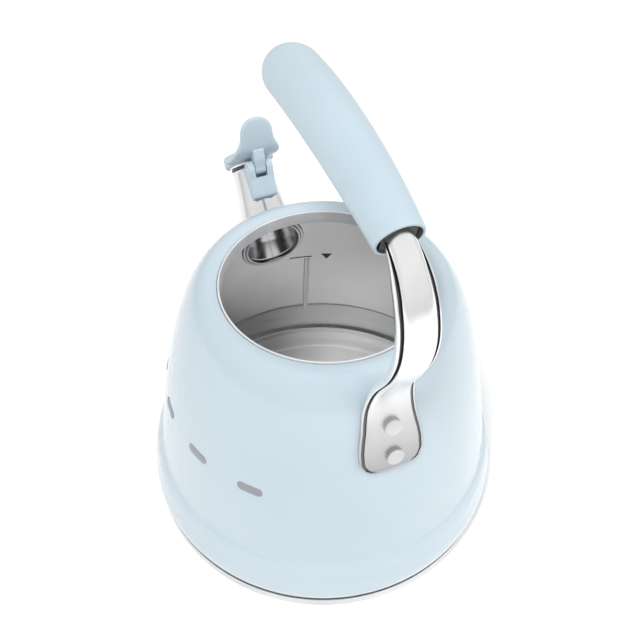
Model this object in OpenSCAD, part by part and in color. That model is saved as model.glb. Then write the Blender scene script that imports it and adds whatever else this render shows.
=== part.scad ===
// Stovetop whistling kettle, millimetres, +Z up.
// The origin is the centre of the base on the surface it stands on.
// The spout points to +X and the handle rises from the -X side.

/* [Vessel] */
// Largest radius of the bulged band at the foot
band_r = 101; // [98:0.5:104]
// Height of the lower edge of the enamelled shell
shell_z = 7.6; // [7.2:0.1:8]
// Radius of the wall where it rises from the band
wall_r = 94.3; // [92:0.1:96]
// Height where the wall rises from the band
wall_z = 40; // [38:0.5:42]
// Height of the rim of the lid opening
rim_z = 151; // [148:0.5:154]
// Radius where the shoulder turns down into the opening
rim_r = 55; // [54:0.1:56]
// Thickness of the sheet metal
sheet = 0.9; // [0.7:0.1:1.2]
// Inner radius of the lid opening
opening_r = 52.8; // [52:0.1:53]
// Depth of the steel collar in the opening
collar_depth = 7; // [6:0.1:10]

/* [Base] */
// Outer radius of the steel cap under the base
plate_r = 100.2; // [99.6:0.1:100.6]
// Height of the steel cap's upturned edge
plate_h = 6.4; // [5.8:0.1:6.6]
// Thickness of the aluminium heat spreader
spreader_t = 4; // [3:0.1:4]

/* [Spout] */
// Angle of the spout above the horizontal
spout_angle = 44; // [42:1:46]
// Distance from the axis to where the spout's axis meets the wall
spout_x = 81; // [80:0.5:82]
// Height where the spout's axis meets the wall
spout_z = 113; // [112:0.5:114]
// Length of the spout from the wall to its mouth
spout_len = 42; // [40:0.5:44]
// Outer radius of the spout at the wall
spout_root_r = 16.8; // [16:0.1:17.4]
// Outer radius of the spout at its mouth
spout_mouth_r = 11.2; // [11:0.1:11.6]
// Wall thickness of the spout
spout_t = 0.9; // [0.7:0.1:1.1]

/* [Whistle] */
// Width of the hinge bracket
bracket_w = 14.4; // [14:0.1:15]
// Width of the tongue between the bracket's ears
tongue_w = 6.2; // [5.6:0.1:6.2]
// Radius of the hinge pin
pin_r = 1.25; // [1.1:0.05:1.4]
// Height of the thumb lever above the hinge
lever_h = 31; // [28:1:34]
// Width of the thumb lever
lever_w = 18.4; // [16:0.2:20]
// Outer radius of the hood round the whistle
hood_r = 14.5; // [14.2:0.1:15]
// Outer radius of the steel whistle
whistle_r = 12; // [11.8:0.1:12.1]
// Radius of the two whistle holes
whistle_hole_r = 1.5; // [1:0.1:2]

/* [Handle] */
// Width of the riveted plate
plate_w = 33.2; // [32:0.2:34]
// Width of the stem
stem_w = 19.4; // [18:0.2:20]
// Thickness of the stem
stem_t = 5.5; // [5:0.1:6]
// Thickness of the riveted plate
mount_t = 2.4; // [2:0.1:2.8]
// Radius of the rivet heads
rivet_r = 4.4; // [4:0.1:4.8]
// Width of the grip at its socket
grip_w0 = 22; // [21.6:0.2:24]
// Width of the grip near its free end
grip_w1 = 28; // [26:0.5:30]

/* [Hidden] */
$fn = 72;
enamel = [0.82, 0.89, 0.94];
soft_blue = [0.74, 0.83, 0.89];
steel = [0.78, 0.78, 0.79];
dark_steel = [0.55, 0.55, 0.56];
alu = [0.85, 0.85, 0.87];
silicone = [0.3, 0.3, 0.32];
gap = 0.05;      // clearance between fitted pieces of one body
joint_gap = 0.35; // clearance between the cap and what it swings past
cut = 20;        // how far a cutting tool reaches past the surface it cuts
span = 300;      // longer than the whole kettle, for shapes that are trimmed by another

// ---- curves ----
function bez(p, t) = pow(1 - t, 3) * p[0] + 3 * pow(1 - t, 2) * t * p[1] + 3 * (1 - t) * t * t * p[2]
                     + pow(t, 3) * p[3];
function bez_slope(p, t) = 3 * pow(1 - t, 2) * (p[1] - p[0]) + 6 * (1 - t) * t * (p[2] - p[1])
                           + 3 * t * t * (p[3] - p[2]);
function curve(p, n, first = 0) = [for (i = [first:n]) bez(p, i / n)];
function unit(v) = v / norm(v);
function turn(v) = [v[1], -v[0]];
// The points moved sideways by d, to the right of the direction of travel
function shift(pts, d) = [for (i = [0:len(pts) - 1])
    let (a = pts[max(i - 1, 0)], b = pts[min(i + 1, len(pts) - 1)]) pts[i] + d * turn(unit(b - a))];
function flip(pts) = [for (i = [len(pts) - 1:-1:0]) pts[i]];
// Points of an arc about c, from the angle a0 to the angle a1
function arc(c, r, a0, a1, n) =
    [for (i = [0:n]) let (a = a0 + (a1 - a0) * i / n) c + r * [cos(a), sin(a)]];

// ---- vessel outline, outside, from the foot to the rim, as [radius, height] ----
band_low = [[98.9, shell_z], [band_r - 0.3, shell_z + 0.6], [band_r + 1.1, 14.5], [band_r - 1.4, 24]];
band_top = [[band_r - 1.4, 24], [band_r - 2.4, 31.5], [97.6, 35.8], [wall_r + 0.9, 37.6]];
wall = [[wall_r, wall_z], [88, 77], [75.4, rim_z + 11], [rim_r, rim_z]];
wall_pts = curve(wall, 30);
lip_r = 1.2;
outline = concat(curve(band_low, 10), curve(band_top, 8, 1), [[wall_r + 0.2, 38.6]], wall_pts,
                 arc([rim_r, rim_z - lip_r], lip_r, 110, 180, 4), [[rim_r - lip_r, rim_z - 4]]);

// A layer of the wall between two distances from its outside, positive outward
module wall_layer(a, b) {
    rotate_extrude()
        polygon(concat(shift(wall_pts, b), flip(shift(wall_pts, a))));
}
// Everything inside the vessel's outer surface, grown by d
module vessel_solid(d) {
    pts = shift(wall_pts, d);
    rotate_extrude()
        polygon(concat([[0, wall_z]], pts, [[0, rim_z]]));
}
// Where on the wall's curve a height lies, found by halving the range n times
function wall_t(z, lo = 0, hi = 0.9, n = 24) = let (mid = (lo + hi) / 2)
    n == 0 ? mid
    : bez(wall, mid)[1] < z ? wall_t(z, mid, hi, n - 1)
    : wall_t(z, lo, mid, n - 1);
// Radius of the wall and its slope from the vertical at one height
function wall_radius(z) = bez(wall, wall_t(z))[0];
function wall_lean(z) = let (s = bez_slope(wall, wall_t(z))) atan2(-s[0], s[1]);

module body_shell() {
    color(enamel)
    difference() {
        rotate_extrude()
            polygon(concat(outline, flip(shift(outline, -sheet))));
        at_spout()
            cylinder(r = spout_root_r + gap, h = 2 * cut, center = true);
        rivet_discs(shank_r + gap);
    }
}

module rim_collar() {
    outer = rim_r - lip_r - gap;
    edge = 0.3;
    color(steel)
    rotate_extrude()
        polygon([[opening_r, rim_z - collar_depth], [outer, rim_z - collar_depth], [outer, rim_z],
                 [outer - edge, rim_z + edge], [opening_r + edge, rim_z + edge], [opening_r, rim_z]]);
}

// ---- base ----
plate_t = 0.8;
pan_z = plate_t + spreader_t;
pan_t = 0.8;
pan_r = 97.25;  // fits inside the foot of the shell
pan_step = 1.0; // rise of the ring pressed into the pan's floor
pan_top = 10;
spreader_r = 95.8;
module base_plate() {
    corner = 2.6;
    color(steel)
    rotate_extrude()
        polygon(concat([[0, 0], [plate_r - corner, 0]],
                       arc([plate_r - corner, corner], corner, -90, 0, 6),
                       [[plate_r, plate_h], [plate_r - plate_t, plate_h], [plate_r - plate_t, corner],
                        [plate_r - corner, plate_t], [0, plate_t]]));
}
module heat_spreader() {
    color(alu)
    translate([0, 0, plate_t])
        cylinder(r = spreader_r, h = spreader_t);
}
module base_pan() {
    floor_r = 84;
    ring_r = 89;
    color(steel)
    rotate_extrude()
        polygon([[0, pan_z], [floor_r, pan_z], [floor_r + 1.5, pan_z + pan_step], [ring_r, pan_z + pan_step],
                 [ring_r + 1, pan_z + pan_step / 2], [pan_r, pan_z + pan_step / 2], [pan_r, pan_top],
                 [pan_r - pan_t, pan_top], [pan_r - pan_t, pan_z + pan_t + pan_step / 2],
                 [ring_r + 1.3, pan_z + pan_t + pan_step / 2], [ring_r + 0.3, pan_z + pan_t + pan_step],
                 [floor_r + 1, pan_z + pan_t + pan_step], [floor_r - 0.5, pan_z + pan_t], [0, pan_z + pan_t]]);
}

// ---- spout: local Z runs along the spout, local X points up from it ----
module at_spout() {
    translate([spout_x, 0, spout_z])
        rotate([0, 90 - spout_angle, 0])
            rotate([0, 0, 180])
                children();
}
// Outer radius of the spout at a distance along it
function tube_r(t) = spout_mouth_r + (spout_root_r - spout_mouth_r) * pow(1 - t / spout_len, 1.5);
tube_ts = [for (i = [0:12]) spout_len * i / 12];
root_len = 14; // how far the plain root runs on inward before the wall trims it
tube_pts = concat([[spout_root_r, -root_len]], [for (t = tube_ts) [tube_r(t), t]]);
module tube_outside(d) {
    rotate_extrude()
        polygon(concat([[0, -root_len]], [for (p = tube_pts) p + [d, 0]], [[0, spout_len]]));
}
module spout_tube() {
    color(steel)
    difference() {
        at_spout()
            rotate_extrude()
                polygon(concat(tube_pts, flip([for (p = tube_pts) p - [spout_t, 0]])));
        vessel_solid(0.02);
        bracket_hole(screw_r + gap);
    }
}
module spout_collar() {
    collar_t = 1.1;
    margin = 2.4;
    color(steel)
    difference() {
        intersection() {
            wall_layer(-sheet - gap - collar_t, -sheet - gap);
            at_spout()
                cylinder(r = spout_root_r + margin, h = 2 * cut, center = true);
        }
        at_spout()
            cylinder(r = spout_root_r - spout_t, h = 2.2 * cut, center = true);
    }
}

// ---- hinge bracket and pin, in the spout's local frame as [height, distance along] ----
pin_u = 18.4;
pin_t = 39.3;
ear_r = 4.3;
slot_w = tongue_w + 2 * joint_gap;
slot_from = 13.4;   // height of the slot's floor between the ears
bracket_from = 8;   // height where the bracket's block starts, inside the tube it wraps
press_fit = 0.01;
running_fit = 0.06;
module along_spout(w) {
    at_spout()
        rotate([90, 0, 0])
            linear_extrude(height = w, center = true)
                children();
}
module at_pin() {
    at_spout()
        translate([pin_u, 0, pin_t])
            rotate([90, 0, 0])
                children();
}
module whistle_bracket() {
    color(soft_blue)
    difference() {
        along_spout(bracket_w)
            union() {
                polygon([[bracket_from, 22.5], [16.2, 22.5], [17, 23.5], [pin_u + 1, pin_t - 7],
                         [pin_u + ear_r, pin_t], [pin_u, pin_t + 2], [pin_u - 4, pin_t + 2.2],
                         [bracket_from, pin_t + 2.2]]);
                translate([pin_u, pin_t])
                    circle(r = ear_r);
            }
        at_spout()
            tube_outside(gap);
        along_spout(slot_w)
            translate([slot_from, pin_t - 6])
                square([cut, cut]);
        at_pin()
            cylinder(r = pin_r + press_fit, h = span, center = true);
        bracket_hole(screw_r + gap);
        leg_hole(coil_turn[0], 180, 4, fixed_leg + 0.2);
    }
}
screw_r = 1.5;
screw_t = 28; // distance of the screw along the spout
module bracket_hole(r) {
    at_spout()
        translate([bracket_from, 0, screw_t])
            rotate([0, 90, 0])
                cylinder(r = r, h = 7.6);
}
module bracket_screw() {
    head_r = 3;
    head_h = 1.6;
    inner = tube_r(screw_t) - spout_t;
    color(dark_steel)
    at_spout()
        translate([0, 0, screw_t])
            rotate([0, 90, 0]) {
                translate([0, 0, inner - 2.2])
                    cylinder(r = head_r, h = head_h);
                translate([0, 0, inner - 1])
                    cylinder(r = screw_r, h = 4.6);
            }
}
module hinge_pin() {
    color(steel)
    at_pin()
        cylinder(r = pin_r, h = bracket_w - 0.2, center = true);
}

// ---- return spring, coiled round the pin inside the tongue's pocket ----
wire_r = 0.3;
coil_r = 2.0;
coil_turns = 3;
pocket_w = 3.4;
pocket_r = 3.0;
coil_pitch = 0.68;
coil_steps = 14;
fixed_leg = 5.9;  // from the pin down into the bracket
moving_leg = 5.4; // from the coil up into the lever
coil_start = -90;
coil_end = 360 * coil_turns - (90 - spout_angle);
function coil_point(a) = [coil_r * cos(a), coil_r * sin(a),
                          coil_pitch * ((a - coil_start) / 360 - coil_turns / 2)];
coil_count = round(coil_steps * coil_turns);
coil_turn = [for (i = [0:coil_count]) coil_point(coil_start + (coil_end - coil_start) * i / coil_count)];
coil_path = concat([coil_turn[0] - [fixed_leg, 0, 0]], coil_turn,
                   [coil_turn[coil_count] + moving_leg * [cos(spout_angle), sin(spout_angle), 0]]);
// A ring of n points of radius r round p, square to the direction d
function ring(p, d, r, n) = let (s = unit(cross(d, [0.01, 0.02, 1])), q = cross(d, s))
    [for (k = [0:n - 1]) p + r * (cos(360 * k / n) * s + sin(360 * k / n) * q)];
module sweep(path, r, n) {
    m = len(path);
    rings = [for (i = [0:m - 1]) let (along = path[min(i + 1, m - 1)] - path[max(i - 1, 0)])
        ring(path[i], unit(along), r, n)];
    tube_mesh(rings, n);
}
// A closed skin over a list of rings of n points each
module tube_mesh(rings, n) {
    m = len(rings);
    sides = [for (i = [0:m - 2]) for (k = [0:n - 1])
        [i * n + k, i * n + (k + 1) % n, (i + 1) * n + (k + 1) % n, (i + 1) * n + k]];
    polyhedron([for (q = rings) each q],
               concat(sides, [[for (k = [n - 1:-1:0]) k]], [[for (k = [0:n - 1]) (m - 1) * n + k]]));
}
// The hole that a leg of the spring sits in, from a point of the coil outward
module leg_hole(p, angle, from, to) {
    at_pin()
        translate(p)
            rotate([0, 90, angle])
                translate([0, 0, from])
                    cylinder(r = wire_r + 0.1, h = to - from, $fn = 24);
}
module return_spring() {
    color(dark_steel)
    at_pin()
        sweep(coil_path, wire_r, 8);
}

// ---- whistle, in the spout's local frame ----
seal_z = spout_len + joint_gap;
seal_t = 1.1;
cup_z = seal_z + seal_t;
cup_h = 6;
cup_t = 0.6;
plate_z = cup_z + 2.6;
seal_hole_r = 8.8;
module whistle_seal() {
    color(silicone)
    at_spout()
        translate([0, 0, seal_z])
            difference() {
                cylinder(r = spout_mouth_r + 0.2, h = seal_t);
                cylinder(r = seal_hole_r, h = cut, center = true);
            }
}
module whistle_cup() {
    color(steel)
    at_spout()
        translate([0, 0, cup_z])
            difference() {
                cylinder(r = whistle_r, h = cup_h);
                translate([0, 0, cup_t])
                    cylinder(r = whistle_r - cup_t, h = cup_h);
                cylinder(r = whistle_hole_r, h = cut, center = true);
            }
}
module whistle_plate() {
    color(steel)
    at_spout()
        translate([0, 0, plate_z])
            difference() {
                cylinder(r = whistle_r - cup_t - 0.02, h = cup_t);
                cylinder(r = whistle_hole_r, h = cut, center = true);
            }
}

// ---- cap: hood, web, lever and tongue. The lever's outline is [x, z] from the pin ----
hood_z = cup_z + 2.6;
hood_h = 5.6;
pin_x = spout_x + pin_t * cos(spout_angle) - pin_u * sin(spout_angle);
pin_z = spout_z + pin_t * sin(spout_angle) + pin_u * cos(spout_angle);
web_r = ear_r + joint_gap + 0.15;
module hood() {
    at_spout()
        translate([0, 0, hood_z])
            rotate_extrude()
                polygon([[whistle_r + gap, 0], [hood_r - 0.6, 0], [hood_r, 0.8], [hood_r, hood_h - 2],
                         [hood_r - 0.7, hood_h - 0.5], [hood_r - 2.2, hood_h], [whistle_r - 1.8, hood_h],
                         [whistle_r - 1.8, cup_h - 2.6 + gap], [whistle_r + gap, cup_h - 2.6 + gap]]);
}
module lever_side() {
    front = [[9, 0.5], [12.4, 5.2], [11.4, 6.6], [8.2, 7.6], [5.4, 9.4], [3.8, 12.4], [3.2, 17], [3.3, 24]];
    tip = [[4, lever_h - 1.2], [3.4, lever_h - 0.2], [2.4, lever_h], [1.6, lever_h - 0.8]];
    back = [[0.4, 24], [-0.6, 17], [-1.8, 10]];
    polygon(concat(arc([0, 0], web_r, 128, 12, 10), front, tip, back));
}
module lever_front() {
    half = lever_w / 2;
    polygon(concat([[-hood_r + 0.6, -1], [-hood_r + 0.4, 3], [-half - 2.2, 8.5], [-half - 0.3, 14]],
                   arc([0, lever_h - half], half, 180, 0, 16),
                   [[half + 0.3, 14], [half + 2.2, 8.5], [hood_r - 0.4, 3], [hood_r - 0.6, -1]]));
}
module whistle_cap() {
    color(soft_blue)
    difference() {
        union() {
            hood();
            difference() {
                translate([pin_x, 0, pin_z])
                    intersection() {
                        rotate([90, 0, 0])
                            linear_extrude(height = 2 * hood_r, center = true)
                                lever_side();
                        rotate([90, 0, 90])
                            linear_extrude(height = span, center = true)
                                lever_front();
                    }
                at_spout()
                    cylinder(r = whistle_r + gap, h = spout_len + cut);
            }
            translate([pin_x, 0, pin_z])
                rotate([90, 0, 0])
                    linear_extrude(height = tongue_w, center = true) {
                        circle(r = ear_r - 0.5);
                        polygon([[-3.6, 1], [-3, 7], [-1.6, 10], [3, 10], [6, 6], [3.6, 1]]);
                    }
        }
        at_pin()
            cylinder(r = pin_r + running_fit, h = span, center = true);
        at_pin()
            cylinder(r = pocket_r, h = pocket_w, center = true);
        at_pin()
            translate([-4, 0, 0])
                cube([8, 10, pocket_w], center = true);
        leg_hole(coil_turn[coil_count], spout_angle, 0, moving_leg + 0.3);
    }
}

// ---- handle ----
stem_a = [[-76.4, 131], [-73.5, 138], [-72.2, 147.5], [-77.5, 158.5]];
stem_b = [[-77.5, 158.5], [-81.6, 167], [-90.6, 181], [-90.9, 196.5]];
stem_c = [[-90.9, 196.5], [-91.1, 211], [-82.5, 228.5], [-68.6, 233.2]];
grip_line = [[-68, 233.5], [-38, 243], [16, 248.8], [55.5, 241.7]];
stem_pts = concat(curve(stem_a, 8), curve(stem_b, 8, 1), curve(stem_c, 12, 1));
// Outline of a strip along the points, with half its thickness given at each point
function strip_outline(pts, half) = let (n = len(pts) - 1)
    concat([for (i = [0:n]) shift(pts, half[i])[i]], flip([for (i = [0:n]) shift(pts, -half[i])[i]]));
stem_full = 10;  // point where the stem reaches its full thickness
stem_swell = 20; // point where it starts to swell towards the grip
stem_end_half = 6;
stem_last = len(stem_pts) - 1;
// Half thickness of the stem, which starts as thin as the plate and swells to fill the grip's socket
function stem_half(i) = i >= stem_swell
    ? stem_t / 2 + (stem_end_half - stem_t / 2) * pow(sin(90 * (i - stem_swell) / (stem_last - stem_swell)), 2)
    : i >= stem_full ? stem_t / 2 : mount_t / 2 + (stem_t - mount_t) / 2 * sin(90 * i / stem_full);
module strip(pts, half, w) {
    rotate([90, 0, 0])
        linear_extrude(height = w, center = true)
            polygon(strip_outline(pts, half));
}
function even(n, v) = [for (i = [0:n]) v];
// Part of the grip's centre line between two fractions of it
function grip_part(a, b, n) = [for (i = [0:n]) bez(grip_line, a + (b - a) * i / n)];
tang_n = 16;
tang_pts = grip_part(-0.02, 0.5, tang_n);
tang_w = 10;
tang_half = 2.5;
insert_w = 15;
insert_half = 6;

// Outline of the plate and stem seen from behind, as [sideways, height]
plate_low = 103.5;
plate_corner = 7;
module mount_outline(d) {
    half = plate_w / 2 - d;
    low = plate_low + d;
    stem_half_w = stem_w / 2;
    end_half_w = stem_half_w - 1.1;
    corner = arc([half - plate_corner, low + plate_corner], plate_corner, -90, 0, 6);
    plate_side = [[half, low + plate_corner], [half - 0.1, 116], [half - 0.9, 122], [half - 2.1, 128],
                  [half - 2.9, 134], [half - 3.6, 140], [half - 4.5, 146], [half - 5.4, 152],
                  [half - 6.2, 160]];
    stem_side = [[stem_half_w - 0.2, 170], [stem_half_w, 182], [stem_half_w, 200],
                 [stem_half_w - 0.4, 216], [end_half_w, 226], [end_half_w, 260]];
    right = concat(corner, plate_side, stem_side);
    polygon(concat(right, flip([for (p = right) [-p[0], p[1]]])));
}
module mount_prism(d) {
    rotate([90, 0, 90])
        linear_extrude(height = span, center = true)
            mount_outline(d);
}
// A layer of the wall behind the kettle, up to a height
module back_layer(a, b, top) {
    intersection() {
        wall_layer(a, b);
        translate([-span / 2, -plate_w, plate_low - cut])
            cube([span / 2, 2 * plate_w, top - plate_low + cut]);
    }
}
gasket_t = 0.7;
plate_in = 2 * gap + gasket_t;
plate_out = plate_in + mount_t;
plate_top = 132;
gasket_top = 129;
module handle_stem() {
    color(steel)
    difference() {
        intersection() {
            union() {
                back_layer(plate_in, plate_out, plate_top);
                strip(stem_pts, [for (i = [0:stem_last]) stem_half(i)], plate_w);
                strip(tang_pts, even(tang_n, tang_half), tang_w);
            }
            mount_prism(0);
        }
        rivet_discs(shank_r + gap);
        at_rivets()
            translate([0, 0, plate_out + 0.1])
                cylinder(r = rivet_r + 0.1, h = 6);
        grip_hole(grip_screw_r + 0.02);
    }
}
module mount_gasket() {
    color(silicone)
    difference() {
        intersection() {
            back_layer(gap, gap + gasket_t, gasket_top);
            mount_prism(0.6);
        }
        rivet_discs(shank_r + gap);
    }
}

// ---- rivets: local Z points out of the wall, with zero on the wall's outside ----
rivet_zs = [111.6, 128.2];
shank_r = 2.2;
module at_rivets() {
    for (z = rivet_zs)
        translate([-wall_radius(z), 0, z])
            rotate([0, wall_lean(z) - 90, 0])
                children();
}
// Discs or holes through the wall at the rivets
module rivet_discs(r) {
    at_rivets()
        cylinder(r = r, h = 16, center = true);
}
washer_room = 1; // depth kept free for the washer inside the wall
washer_t = 0.6;
washer_r = 5.4;
module handle_rivets() {
    head_h = 1.9;
    chamfer = 0.4;
    upset_r = 3.6;
    upset_h = 1.5;
    head_from = plate_out + 0.12;
    upset_from = -sheet - washer_room - 2;
    color(steel)
    at_rivets() {
        translate([0, 0, head_from])
            cylinder(r = rivet_r, h = head_h - chamfer);
        translate([0, 0, head_from + head_h - chamfer])
            cylinder(r1 = rivet_r, r2 = rivet_r - chamfer, h = chamfer);
        translate([0, 0, upset_from + 0.8])
            cylinder(r = shank_r, h = head_from - upset_from - 0.12);
        translate([0, 0, upset_from])
            cylinder(r = upset_r, h = upset_h);
    }
}
module rivet_washers() {
    color(dark_steel)
    difference() {
        intersection() {
            wall_layer(-sheet - gap - washer_t, -sheet - gap);
            rivet_discs(washer_r);
        }
        rivet_discs(shank_r + gap);
    }
}

// ---- grip: an oval swept along its centre line, rounded at the free end ----
grip_sides = 28;
grip_round = 0.87;
function end_scale(t) = t < grip_round ? 1
    : sqrt(max(0.02, 1 - pow((t - grip_round) / (1 - grip_round), 2)));
function grip_half_w(t) = (grip_w0 + (grip_w1 - grip_w0) * sin(90 * min(1, t / 0.8))) / 2;
function grip_half_h(t) = 0.9 * grip_half_w(t);
socket_end = 0.012;
socket_scale = 0.86;
// An oval ring of points round the grip's centre line
function grip_ring(t, k0 = 1) =
    let (c = bez(grip_line, t), d = unit(bez_slope(grip_line, t)), s = k0 * end_scale(t))
    [for (k = [0:grip_sides - 1]) let (a = 360 * k / grip_sides, u = grip_half_h(t) * s * sin(a))
        [c[0] - d[1] * u, grip_half_w(t) * s * cos(a), c[1] + d[0] * u]];
grip_ts = concat([for (i = [0:16]) grip_round * i / 16],
                 [for (i = [1:10]) grip_round + (1 - grip_round) * sin(9 * i)]);
module grip() {
    color(soft_blue)
    difference() {
        tube_mesh([for (t = grip_ts) grip_ring(t)], grip_sides);
        tube_mesh([for (t = [-0.03, socket_end]) grip_ring(t, socket_scale)], grip_sides);
        strip(grip_part(-0.03, 0.53, tang_n), even(tang_n, insert_half + gap), insert_w + 2 * gap);
        grip_hole(grip_screw_r + 0.1);
        translate([grip_screw_x, 0, screw_head_z + screw_head_h - cut])
            cylinder(r = screw_head_r + 0.2, h = cut + 0.1);
    }
}
module grip_insert() {
    color(silicone)
    difference() {
        strip(grip_part(socket_end, 0.52, tang_n), even(tang_n, insert_half), insert_w);
        strip(grip_part(-0.02, 0.505, tang_n), even(tang_n, tang_half + gap), tang_w + 2 * gap);
        grip_hole(grip_screw_r + 0.1);
    }
}
grip_screw_x = -34;
grip_screw_r = 1.5;
screw_head_r = 3;
screw_head_h = 2.2;
screw_head_z = 229.7;
module grip_hole(r) {
    translate([grip_screw_x, 0, 222])
        cylinder(r = r, h = 21.5);
}
module grip_screw() {
    color(dark_steel)
    translate([grip_screw_x, 0, 0]) {
        translate([0, 0, screw_head_z])
            cylinder(r = screw_head_r, h = screw_head_h);
        translate([0, 0, screw_head_z + 1.3])
            cylinder(r = grip_screw_r, h = 11.5);
    }
}

// ---- plain marks on the side, evenly spaced round the wall ----
mark_angles = [-116, -93.5, -71, -48];
mark_w = 14;
mark_h = 5;
mark_z = 84;
module trim_marks() {
    color(dark_steel)
    intersection() {
        wall_layer(0.02, 0.42);
        for (a = mark_angles)
            rotate([0, 0, 180 + a])
                translate([0, 0, mark_z])
                    rotate([0, 90, 0])
                        linear_extrude(height = span)
                            union() {
                                square([mark_h, mark_w - mark_h], center = true);
                                for (s = [-1, 1])
                                    translate([0, s * (mark_w - mark_h) / 2])
                                        circle(r = mark_h / 2);
                            }
    }
}

body_shell();
rim_collar();
base_pan();
heat_spreader();
base_plate();
spout_tube();
spout_collar();
whistle_bracket();
bracket_screw();
hinge_pin();
return_spring();
whistle_cap();
whistle_cup();
whistle_plate();
whistle_seal();
handle_stem();
mount_gasket();
handle_rivets();
rivet_washers();
grip();
grip_insert();
grip_screw();
trim_marks();
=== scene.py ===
import math

import bmesh
import bpy
import numpy as np
from mathutils import Matrix, Vector


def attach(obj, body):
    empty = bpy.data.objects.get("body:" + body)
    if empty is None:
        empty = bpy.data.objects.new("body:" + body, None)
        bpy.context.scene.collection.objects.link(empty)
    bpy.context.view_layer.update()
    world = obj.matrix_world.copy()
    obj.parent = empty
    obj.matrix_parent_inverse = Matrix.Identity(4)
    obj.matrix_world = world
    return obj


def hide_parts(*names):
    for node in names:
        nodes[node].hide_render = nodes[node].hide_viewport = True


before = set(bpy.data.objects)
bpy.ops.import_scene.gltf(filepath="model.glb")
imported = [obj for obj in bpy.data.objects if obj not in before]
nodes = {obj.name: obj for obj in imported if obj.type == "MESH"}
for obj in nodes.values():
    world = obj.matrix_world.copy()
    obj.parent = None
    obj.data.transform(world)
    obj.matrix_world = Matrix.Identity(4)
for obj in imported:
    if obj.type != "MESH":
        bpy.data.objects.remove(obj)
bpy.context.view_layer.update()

MM = 0.001
KETTLE = "kettle"
FLAP = "whistle_flap"


# ---------------------------------------------------------------- dimensions, in millimetres
BAND_R = 100.95                         # bulged band at the foot
SHELL_Z = 7.6                           # lower edge of the enamel
WALL_R, WALL_Z = 94.3, 40.0             # foot of the wall, above the band
RIM_R, RIM_Z = 55.0, 151.0              # top of the wall, round the opening
LIP_R = 1.2                             # the enamel's rolled edge
SHEET = 0.9                             # the vessel's steel
OPENING_R, COLLAR_DEPTH = 52.8, 7.0     # the bare ring in the opening
PLATE_R, PLATE_H = 100.2, 6.4           # the cap under the bottom
PAN_Z, PAN_T, PAN_R, PAN_STEP = 4.8, 0.8, 97.25, 1.0

SPOUT_ANGLE = math.radians(44)
SPOUT_X, SPOUT_Z, SPOUT_LEN = 81.0, 113.0, 42.0
SPOUT_ROOT_R, SPOUT_MOUTH_R, SPOUT_T = 16.8, 11.2, 0.9
PIN_T, PIN_U = 39.3, 18.4               # the hinge pin's place along the spout and above its axis
PIN_R, EAR_R = 1.25, 4.3
BRACKET_W, TONGUE_W = 14.4, 6.2
LEVER_H, LEVER_W = 31.0, 18.4
HOOD_R, WHISTLE_R, WHISTLE_HOLE_R = 14.5, 12.0, 1.5
SEAL_Z = SPOUT_LEN + 0.35
CUP_Z = SEAL_Z + 1.1

MOUNT_T, STEM_T, SOCKET_T = 2.4, 5.5, 12.0      # the strap at its plate, on its run and in the grip
FLANGE_W, GROOVE_W = 1.0, 1.25                  # the strap's thin edge and the groove inside it
PLATE_LOW, PLATE_CORNER = 103.5, 7.0
GASKET_T = 0.7
PLATE_IN = 0.05 + GASKET_T + 0.05               # from the enamel to the back of the plate
RIVET_R, RIVET_H, RIVET_ZS = 4.4, 1.9, (111.6, 128.2)
GRIP_W0, GRIP_W1 = 22.0, 28.0                   # the grip where the strap enters it, and at its widest

MARK_ANGLES = (-116.0, -93.5, -71.0, -48.0)     # degrees round from the handle
MARK_W, MARK_H, MARK_Z = 14.0, 5.0, 84.0
LEVEL_Z, LEVEL_ANGLE, TRIANGLE_ANGLE, SEAM_ANGLE = 89.6, -13.2, -24.0, -15.8


# ---------------------------------------------------------------- curves
def bezier(p, t):
    """Points of a cubic curve with four control points."""
    p = np.asarray(p, float)
    t = np.asarray(t, float)[..., None]
    return (1 - t) ** 3 * p[0] + 3 * (1 - t) ** 2 * t * p[1] + 3 * (1 - t) * t ** 2 * p[2] + t ** 3 * p[3]


def bezier_slope(p, t):
    p = np.asarray(p, float)
    t = np.asarray(t, float)[..., None]
    return 3 * (1 - t) ** 2 * (p[1] - p[0]) + 6 * (1 - t) * t * (p[2] - p[1]) + 3 * t ** 2 * (p[3] - p[2])


def arc(centre, radius, start, stop, steps):
    """Points of a round stretch, between two angles in degrees."""
    a = np.radians(np.linspace(start, stop, steps + 1))
    return np.stack([centre[0] + radius * np.cos(a), centre[1] + radius * np.sin(a)], 1)


def spline(points, count):
    """A smooth curve through given points (Catmull-Rom), evenly sampled by point number."""
    p = np.asarray(points, float)
    p = np.vstack([2 * p[0] - p[1], p, 2 * p[-1] - p[-2]])
    s = np.linspace(0, len(points) - 1, count)
    i = np.minimum(s.astype(int), len(points) - 2)
    t = (s - i)[:, None]
    a, b, c, d = p[i], p[i + 1], p[i + 2], p[i + 3]
    return 0.5 * (2 * b + (c - a) * t + (2 * a - 5 * b + 4 * c - d) * t ** 2 + (3 * b - a - 3 * c + d) * t ** 3)


def run_length(path):
    """The distance along a path to each of its points."""
    return np.concatenate([[0], np.cumsum(np.linalg.norm(np.diff(path, axis=0), axis=1))])


def headings(path, *run):
    """Unit vectors along a path at its points, which are spaced evenly or by the distances in run."""
    along = np.gradient(path, *run, axis=0)
    return along / np.linalg.norm(along, axis=1)[:, None]


def shift(points, d):
    """The points moved sideways by d, to the right of the direction of travel."""
    p = np.asarray(points, float)
    along = headings(p)
    return p + d * np.stack([along[:, 1], -along[:, 0]], 1)


def ease(value, low, high):
    """Rises smoothly from 0 at low to 1 at high."""
    k = min(max((value - low) / (high - low), 0), 1)
    return k * k * (3 - 2 * k)


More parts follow.
